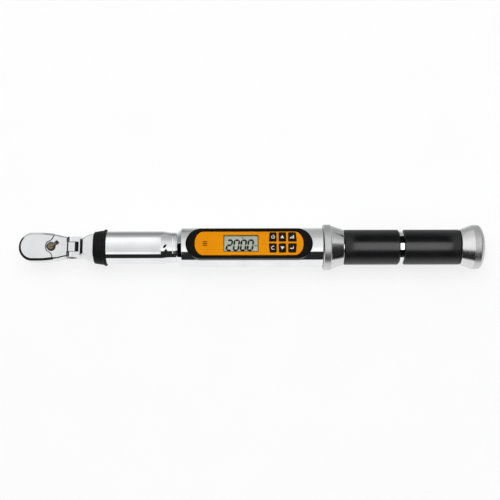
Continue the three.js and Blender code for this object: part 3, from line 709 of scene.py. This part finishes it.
def panel_piece():
    low, high = span("face_panel")
    z0, z1 = low.z - AXIS_Z, high.z - AXIS_Z
    plate = slab("orange_panel", oval(low.x, high.x, PANEL_HALF, PANEL_REACH),
                 edge_layers(z0, z1, 0.25, 2, both=False))
    window_low, window_high = span("display_window")
    opening = rectangle(window_low.x - 0.1, window_high.x + 0.1, -7.85, 7.85, 0.6)
    tools = [slab("opening", opening, THROUGH_PANEL)]
    for name, column, row in KEYS:
        tools.append(slab("key_hole", key_outline(name, column, row, 0.2, 1.0), THROUGH_PANEL))
    for y in (-SOUND_SLOT_PITCH, 0, SOUND_SLOT_PITCH):
        tools.append(slab("slot", rectangle(*SOUND_SLOT, y - 0.4, y + 0.4, 0.35, 4), THROUGH_PANEL))
    combine(plate, tools)
    shade(plate, 30)
    plate.data.materials.append(ORANGE)
    return mount(plate, "handle", ["face_panel"])


def window_piece():
    low, high = span("display_window")
    outline = rectangle(low.x, high.x, low.y, high.y, 0.5)
    z0, z1 = low.z - AXIS_Z, high.z - AXIS_Z
    return slab("window_pane", outline, edge_layers(z0, z1, 0.12, 2), GLASS, "handle", ["display_window"])


def window_shade_ring():
    """Thin dark olive ring round the window: painted shade along the window's edge."""
    low, high = span("display_window")
    z = high.z - AXIS_Z

    def border(grow, radius):
        return rectangle(low.x - grow, high.x + grow, low.y - grow, high.y + grow, radius)

    ring = slab("window_shade_ring", border(0.05, 0.6), [(0, z + 0.08), (0, z + 0.02)])
    combine(ring, [slab("inside", border(-0.5, 0.4), [(0, z + 1), (0, z - 1)])])
    ring.data.materials.append(SHADE_OLIVE)
    return mount(ring, "handle", ())


SEGMENTS = {"0": "abcdef", "2": "abged"}


def digit_bars(x, y, width, height, segments, stroke=1.6, slant=0.13):
    """Outlines of the lit bars of a seven-segment digit with its lower left corner at x, y."""
    half = height / 2
    gap = 0.12
    lines = {
        "a": ((0, height), (width, height)), "g": ((0, half), (width, half)), "d": ((0, 0), (width, 0)),
        "f": ((0, half), (0, height)), "b": ((width, half), (width, height)),
        "e": ((0, 0), (0, half)), "c": ((width, 0), (width, half)),
    }
    outlines = []
    for letter in segments:
        start, end = (Vector(p) for p in lines[letter])
        along = (end - start).normalized()
        side = Vector((-along.y, along.x)) * stroke / 2
        start, end = start + along * gap, end - along * gap
        tip = along * stroke / 2
        shape = [start, start + tip + side, end - tip + side, end, end - tip - side, start + tip - side]
        outlines.append([(x + p.x + slant * p.y, y + p.y) for p in shape])
    return outlines


def flat_marks(name, outlines, z0, z1, material, body):
    """Thin raised marks, one closed slab each, in one object."""
    marks = [slab(name, outline, [(0, z1), (0, z0)]) for outline in outlines]
    merge(marks[0], marks[1:])
    marks[0].data.materials.append(material)
    return mount(marks[0], body, ())


def display_marks():
    """The digits 2000 with a dot and a small marker; three slanted bars take the place of the unit mark."""
    z = span("lcd_panel")[1].z - AXIS_Z
    window_low, window_high = span("display_window")
    first = window_low.x + 2.6
    outlines = []
    for k, digit in enumerate("2000"):
        outlines += digit_bars(first + DIGIT_PITCH * k, -6.2, 4.3, 9.4, SEGMENTS[digit])
    dot = first + DIGIT_PITCH * 3 - 0.9
    outlines.append([(dot, -6.6), (dot + 0.8, -6.6), (dot + 0.8, -5.8), (dot, -5.8)])
    marker = window_low.x + 17.5
    outlines.append([(marker - 0.7, 5.0), (marker + 0.7, 5.0), (marker, 6.4)])
    unit = window_high.x - 4.0
    for k in range(3):
        outlines.append([(unit + 1.1 * k, -2.6), (unit + 0.5 + 1.1 * k, -2.6), (unit + 0.7 + 1.1 * k, -1.2),
                         (unit + 0.2 + 1.1 * k, -1.2)])
    return flat_marks("display_digits", outlines, z + 0.03, z + 0.09, INK, "handle")


def key_icon(name, cx, cy):
    """Closed outlines of a key's printed sign: an arrow, a ring and bar, an open ring, rising bars or a bent
    arrow."""
    if name == "key_up":
        return [[(cx - 1.7, cy - 1.2), (cx + 1.7, cy - 1.2), (cx, cy + 1.6)]]
    if name == "key_down":
        return [[(cx - 1.7, cy + 1.2), (cx, cy - 1.6), (cx + 1.7, cy + 1.2)]]
    if name == "key_power":
        ring = arc(cx, cy - 0.1, 1.7, 130, 410, 20) + arc(cx, cy - 0.1, 1.15, 410, 130, 20)
        bar = [(cx - 0.28, cy + 0.2), (cx + 0.28, cy + 0.2), (cx + 0.28, cy + 2.1), (cx - 0.28, cy + 2.1)]
        return [ring, bar]
    if name == "key_clear":
        return [arc(cx, cy, 1.8, 50, 310, 20) + arc(cx, cy, 1.2, 310, 50, 20)]
    if name == "key_memory":
        return [[(cx - 1.8 + 1.35 * k, cy - 1.5), (cx - 0.95 + 1.35 * k, cy - 1.5),
                 (cx - 0.95 + 1.35 * k, cy - 0.3 + 0.9 * k), (cx - 1.8 + 1.35 * k, cy - 0.3 + 0.9 * k)]
                for k in range(3)]
    return [[(cx + 0.9, cy + 1.5), (cx + 1.5, cy + 1.5), (cx + 1.5, cy - 0.9), (cx - 0.6, cy - 0.9),
             (cx - 0.6, cy - 1.7), (cx - 1.9, cy - 0.6), (cx - 0.6, cy + 0.5), (cx - 0.6, cy - 0.3),
             (cx + 0.9, cy - 0.3)]]


def key_pieces():
    for name, column, row in KEYS:
        low, high = span(name)
        z0, z1 = low.z - AXIS_Z, high.z - AXIS_Z
        outline = key_outline(name, column, row)
        crown = [(1.6, z1), (1.0, z1 - 0.05), (0.5, z1 - 0.18), (0.18, z1 - 0.42), (0.03, z1 - 0.75),
                 (0, z1 - 1.2), (0, z0)]
        slab(name + "_cap", outline, crown, KEY_BLACK, name + "_body", [name])
        lean = 0.45 if column == 0 else -0.45 if column == 2 else 0
        cx = (low.x + high.x) / 2 + lean
        cy = (low.y + high.y) / 2
        flat_marks(name + "_sign", key_icon(name, cx, cy), z1 - 0.02, z1 + 0.03, PRINT, name + "_body")


# ---- handle -------------------------------------------------------------------------------------

def flange_piece():
    low, high = span("flange_collar")
    x0, x1, r = low.x, high.x, (high.z - low.z) / 2
    rim_end = 276.0
    corners = [(x0, 13.75, 0), (x0, 20.2, 0.2), (x0 + 0.9, r, 0.4), (rim_end, r, 0.35), (276.5, 20.5, 0.15),
               (x1 - 0.5, 16.75, 0.4), (x1, 16.4, 0.2), (x1, 13.75, 0)]
    flange = turned("flange_ring", corners, BRUSHED, None)
    flange.data.materials.append(RIM_BRUSHED)
    for polygon in flange.data.polygons:
        if polygon.center.x < (rim_end + 0.2) * MM:
            polygon.material_index = 1
    return mount(flange, "handle", ["flange_collar"])


def grip_piece(name, node):
    low, high = span(node)
    x0, x1 = low.x, high.x
    corners = [(x0, 13.75, 0), (x0, 15.4, 0.3), (x0 + 0.9, 16.3, 0.8), (x1 - 0.9, 16.3, 0.8), (x1, 15.4, 0.3),
               (x1, 13.75, 0)]
    return turned(name, corners, GRIP, "handle", [node])


def grip_ring_piece():
    low, high = span("grip_ring")
    corners = [(low.x, 13.75, 0), (low.x, 14.6, 0.2), (low.x + 0.35, 14.88, 0.2), (high.x - 0.35, 14.88, 0.2),
               (high.x, 14.6, 0.2), (high.x, 13.75, 0)]
    return turned("grip_band", corners, CHROME, "handle", ["grip_ring"])


def cap_piece():
    """Battery cap: flared cone, brushed band, domed end, and the spigot that screws into the tube."""
    x0, x1 = span("grip_rear")[1].x + 0.3, span("end_cap")[1].x
    rim_start = 407.4
    profile = rounded([
        (391.7, 0, 0), (391.7, 8.3, 0.1), (387, 8.3, 0.2), (387, 11.5, 0.3), (392.4, 11.5, 0),
        (392.4, 10.9, 0), (394.2, 10.9, 0), (394.2, 11.5, 0), (x0, 11.5, 0), (x0, 16.5, 0.3),
        (rim_start, 20.45, 0.3),
        (413.6, 20.45, 1.2), (x1 - 4, 18.2, 3), (x1 - 2, 13.3, 4), (x1 - 0.4, 6, 4), (x1, 0, 0)], 6)
    verts, faces = turned_mesh(profile, False, 240)
    cap = piece("battery_cap", verts, faces, BRUSHED, None)
    cap.data.materials.append(RIM_BRUSHED)
    for polygon in cap.data.polygons:
        if polygon.center.x > (rim_start + 0.1) * MM:
            polygon.material_index = 1
    return mount(cap, "cap", ["end_cap"])


# ---- carried-over CAD nodes ---------------------------------------------------------------------

def dress_frame_nodes():
    """Materials, and a small edge rounding, for the CAD pieces that stay as they are."""
    finishes = {
        "drive_gear": STEEL, "detent_ball": CHROME, "detent_spring": STEEL, "retaining_ring": STEEL,
        "pawl": DARK_STEEL_AND_SHADE, "pawl_pin": STEEL, "pawl_plunger": STEEL, "strain_gauge_upper": FILM,
        "strain_gauge_lower": FILM, "cross_pin": DARK_STEEL_AND_SHADE, "lcd_panel": LCD, "lcd_carrier": POLYMER,
        "circuit_board": BOARD, "controller_chip": BLACK, "buzzer": BLACK, "keypad_mat": RUBBER,
        "handle_tube": STEEL, "battery_liner": POLYMER, "front_contact": BRASS, "battery_front": CELL,
        "battery_rear": CELL, "battery_spring": STEEL, "cap_contact": BRASS, "cap_seal": RUBBER,
    }
    edges = {"drive_gear": 0.12, "retaining_ring": 0.1, "pawl": 0.15, "controller_chip": 0.2,
             "lcd_carrier": 0.2}
    for name, material in finishes.items():
        obj = nodes[name]
        obj.data.materials.clear()
        obj.data.materials.append(material)
        shade(obj, 35)
        if name in edges:
            bevel = obj.modifiers.new("edge", "BEVEL")
            bevel.width = edges[name] * MM
            bevel.segments = 2
            bevel.limit_method = "ANGLE"
            bevel.angle_limit = math.radians(40)


# ---- floor, light and camera --------------------------------------------------------------------

VIEW_DISTANCE = 0.93            # camera to the middle of the view
VIEW_WIDTH = 0.46575            # width of the picture at that distance
VIEW_CENTRE = Vector((0.2016, -0.0024, AXIS_Z * MM))
VIEW_ELEVATION = 78.3           # degrees
VIEW_ROLL = -0.11               # degrees


class Wire:
    """A value in a node tree; arithmetic on it adds Math nodes."""

    def __init__(self, tree, socket):
        self.tree = tree
        self.socket = socket

    def joined(self, operation, *values):
        node = self.tree.nodes.new("ShaderNodeMath")
        node.operation = operation
        for socket, value in zip(node.inputs, values):
            if isinstance(value, Wire):
                self.tree.links.new(value.socket, socket)
            else:
                socket.default_value = value
        return Wire(self.tree, node.outputs[0])

    def __add__(self, other):
        return self.joined("ADD", self, other)

    def __radd__(self, other):
        return self.joined("ADD", other, self)

    def __sub__(self, other):
        return self.joined("SUBTRACT", self, other)

    def __rsub__(self, other):
        return self.joined("SUBTRACT", other, self)

    def __mul__(self, other):
        return self.joined("MULTIPLY", self, other)

    def __truediv__(self, other):
        return self.joined("DIVIDE", self, other)

    def __abs__(self):
        return self.joined("ABSOLUTE", self)

    def at_least(self, other):
        return self.joined("MAXIMUM", self, other)

    def ramp(self, start, end):
        """Smooth step from 0 at start to 1 at end, which may be the lower of the two."""
        node = self.tree.nodes.new("ShaderNodeMapRange")
        node.interpolation_type = "SMOOTHSTEP"
        node.inputs["From Min"].default_value = start
        node.inputs["From Max"].default_value = end
        self.tree.links.new(self.socket, node.inputs["Value"])
        return Wire(self.tree, node.outputs["Result"])


def coordinates(tree, kind):
    """X, Y and Z of one of the tree's texture coordinates."""
    coords = tree.nodes.new("ShaderNodeTexCoord")
    split = tree.nodes.new("ShaderNodeSeparateXYZ")
    tree.links.new(coords.outputs[kind], split.inputs["Vector"])
    return [Wire(tree, socket) for socket in split.outputs]


def sheet(name, corners):
    """One flat face through corners given in metres."""
    mesh = bpy.data.meshes.new(name)
    mesh.from_pydata(corners, [], [list(range(len(corners)))])
    obj = bpy.data.objects.new(name, mesh)
    bpy.context.scene.collection.objects.link(obj)
    return obj


def level_sheet(name, x0, x1, y0, y1, z):
    return sheet(name, [(x0, y0, z), (x1, y0, z), (x1, y1, z), (x0, y1, z)])


def reflected_only(obj):
    obj.visible_camera = False
    obj.visible_diffuse = False
    obj.visible_shadow = False


def floor():
    """White paper that glows by itself, so the shadows on it stay light."""
    obj = level_sheet("floor", -6, 6, -6, 6, cad_box[0].z - 0.0005)
    material, shader = new_material("floor_paper", (0.21, 0.21, 0.213), 0.0, 0.9)
    shader.inputs["Specular IOR Level"].default_value = 0.0
    vary_color(material, shader, add_noise(material, 12.0), (0.205, 0.205, 0.208), (0.215, 0.215, 0.218))
    shader.inputs["Emission Color"].default_value = (1, 1, 1, 1)
    shader.inputs["Emission Strength"].default_value = 0.79
    obj.data.materials.append(material)


def floor_card():
    """A grey card on the floor on the wrench's +Y side, seen only in reflections. It is paler at its near
    edge, and paler all over beyond the front tube, so that tube and housing get different greys."""
    near, full_grey = 0.02, 0.085
    obj = level_sheet("card", -3, 3, near, 5.9, cad_box[0].z - 0.0003)
    material, shader = new_material("card_grey", (0, 0, 0), 0.0, 1.0)
    shader.inputs["Specular IOR Level"].default_value = 0.0
    tree = material.node_tree
    x, y, _ = coordinates(tree, "Object")
    fade = y.ramp(near, full_grey) * (1.0 - x.ramp(0.12, 0.16) * 0.33)
    ramp = tree.nodes.new("ShaderNodeValToRGB")
    ramp.color_ramp.elements[0].color = (0.85, 0.86, 0.86, 1)
    ramp.color_ramp.elements[1].color = (0.27, 0.28, 0.28, 1)
    tree.links.new(fade.socket, ramp.inputs["Fac"])
    tree.links.new(ramp.outputs["Color"], shader.inputs["Emission Color"])
    shader.inputs["Emission Strength"].default_value = 1.0
    obj.data.materials.append(material)
    reflected_only(obj)


def small_cards():
    """Cards seen only in reflections: a white strip between two black ones, close over the grips, and a black
    sector of a ring beside the housing's nose. They are placed for the photo's camera angle."""
    height = span("grip_front")[1].z * MM + 0.006
    x0 = span("grip_front")[0].x * MM + 0.009
    x1 = span("grip_rear")[1].x * MM - 0.008
    front_edge, rear_edge, reach = -0.0095, 0.0028, 0.05
    nose_x = span("housing")[0].x - 0.8
    sector = arc(0, 0, 24.0, 4, -50, 12) + arc(0, 0, 14.6, -50, 4, 12)
    black_cards = [
        level_sheet("flag_rear", x0, x1, rear_edge, reach, height),
        level_sheet("flag_front", x0, x1, -reach, front_edge, height),
        sheet("flag_nose", [(nose_x * MM, y * MM, (AXIS_Z + z) * MM) for z, y in sector])]
    black, shader = new_material("flag_black", (0.003, 0.003, 0.003), 0.0, 1.0)
    shader.inputs["Specular IOR Level"].default_value = 0.0
    vary_color(black, shader, add_noise(black, 4.0), (0.002, 0.002, 0.002), (0.004, 0.004, 0.004))
    white_card = level_sheet("flag_white", x0, x1, front_edge, rear_edge, height)
    white, shader = new_material("flag_white", (0.9, 0.9, 0.9), 0.0, 1.0)
    vary_color(white, shader, add_noise(white, 4.0), (0.88, 0.88, 0.88), (0.92, 0.92, 0.92))
    shader.inputs["Emission Color"].default_value = (1, 1, 1, 1)
    shader.inputs["Emission Strength"].default_value = 2.4
    for obj, material in [(card, black) for card in black_cards] + [(white_card, white)]:
        obj.data.materials.append(material)
        reflected_only(obj)


def studio():
    """Light chosen by direction. This is neither plain soft light nor a model of a real studio: the zones and
    their limits were fitted to the photo, some of them for one piece only, and from its camera angle only.

    x, y and z are the parts of a ray's direction. across is its lean towards -Y, the camera's side. x parts
    the pieces, because each piece sends the camera's rays along its own stretch of x.
    """
    world = bpy.data.worlds.new("studio")
    bpy.context.scene.world = world
    world.use_nodes = True
    tree = world.node_tree
    x, y, z = coordinates(tree, "Generated")
    height = z.at_least(0.02)
    sideways = abs(x)
    across = y * -1.0 / height

    past_tube = x.ramp(-0.0885, -0.0805)
    on_tube = x.ramp(-0.26, -0.23) * (1.0 - past_tube)
    past_tube_or_head = past_tube.at_least(x.ramp(-0.23, -0.28))

    # The dark side starts at edge, which comes nearer for the housing and nearer still towards both ends.
    housing = past_tube * x.ramp(0.50, 0.40)
    steep_ends = (sideways / height - 0.27).at_least(0.0) * 3.0
    edge = (1.55 - housing * 0.85 - steep_ends).at_least(-0.3)
    dark = sideways.ramp(0.68, 0.78).at_least((across - edge).ramp(-0.05, 0.12))

    # Behind the wrench the light falls off, in two ways that suit different pieces.
    overhead = across.ramp(0.45, -0.1) * past_tube * 0.2
    gradual = overhead + across.ramp(-0.1, -1.6) * 0.33 + across.ramp(-1.6, -4.5) * 0.06
    half_to_full = 0.5 + x.ramp(-0.18, -0.15) * 0.5
    steep = across.ramp(-0.8, -4.0) * half_to_full * 0.66
    rear = gradual * past_tube_or_head + steep * (1.0 - past_tube_or_head)

    grey_strip = across.ramp(-0.9, 0.5) * across.ramp(1.15, 0.7) * on_tube
    above = (1.02 - dark) * (1.12 - grey_strip * 0.36) * (1.0 - rear)
    light = above.at_least(z.ramp(0.02, -0.04) * 0.9)

    # The camera itself sees a plain pale background, never the dark zones.
    path = tree.nodes.new("ShaderNodeLightPath")
    seen = (Wire(tree, path.outputs["Is Camera Ray"]) * 0.97).at_least(light)
    back = tree.nodes["Background"]
    back.inputs["Color"].default_value = (1, 1, 1, 1)
    tree.links.new(seen.socket, back.inputs["Strength"])


def key_light():
    """A soft box for the shadow, hidden from reflections."""
    data = bpy.data.lights.new("softbox", "AREA")
    data.shape = "RECTANGLE"
    data.size = 1.6
    data.size_y = 1.0
    data.energy = 11
    light = bpy.data.objects.new("softbox", data)
    light.location = (0.2, 0.35, 1.5)
    light.rotation_euler = (Vector((0.2, 0, 0)) - light.location).to_track_quat("-Z", "Y").to_euler()
    bpy.context.scene.collection.objects.link(light)
    light.visible_glossy = False


def camera():
    data = bpy.data.cameras.new("camera")
    data.sensor_width = 36
    data.lens = data.sensor_width * VIEW_DISTANCE / VIEW_WIDTH
    data.clip_start = 0.01
    obj = bpy.data.objects.new("camera", data)
    elevation = math.radians(VIEW_ELEVATION)
    away = Vector((0, -math.cos(elevation), math.sin(elevation)))
    obj.location = VIEW_CENTRE + away * VIEW_DISTANCE
    look = (-away).to_track_quat("-Z", "Y").to_matrix().to_4x4()
    obj.rotation_euler = (look @ Matrix.Rotation(math.radians(VIEW_ROLL), 4, "Z")).to_euler()
    bpy.context.scene.collection.objects.link(obj)
    bpy.context.scene.camera = obj


camera()
floor()
floor_card()
small_cards()
studio()
key_light()
head_piece()
lever_piece()
cover_piece()
yoke_piece()
hinge_screw()
collar_piece()
barrel_piece()
pin_hole_shade_piece()
housing_piece()
bezel_piece()
panel_piece()
window_piece()
window_shade_ring()
display_marks()
key_pieces()
flange_piece()
grip_piece("grip_sleeve_front", "grip_front")
grip_piece("grip_sleeve_rear", "grip_rear")
grip_ring_piece()
cap_piece()
dress_frame_nodes()
bpy.context.scene.view_settings.view_transform = "Standard"
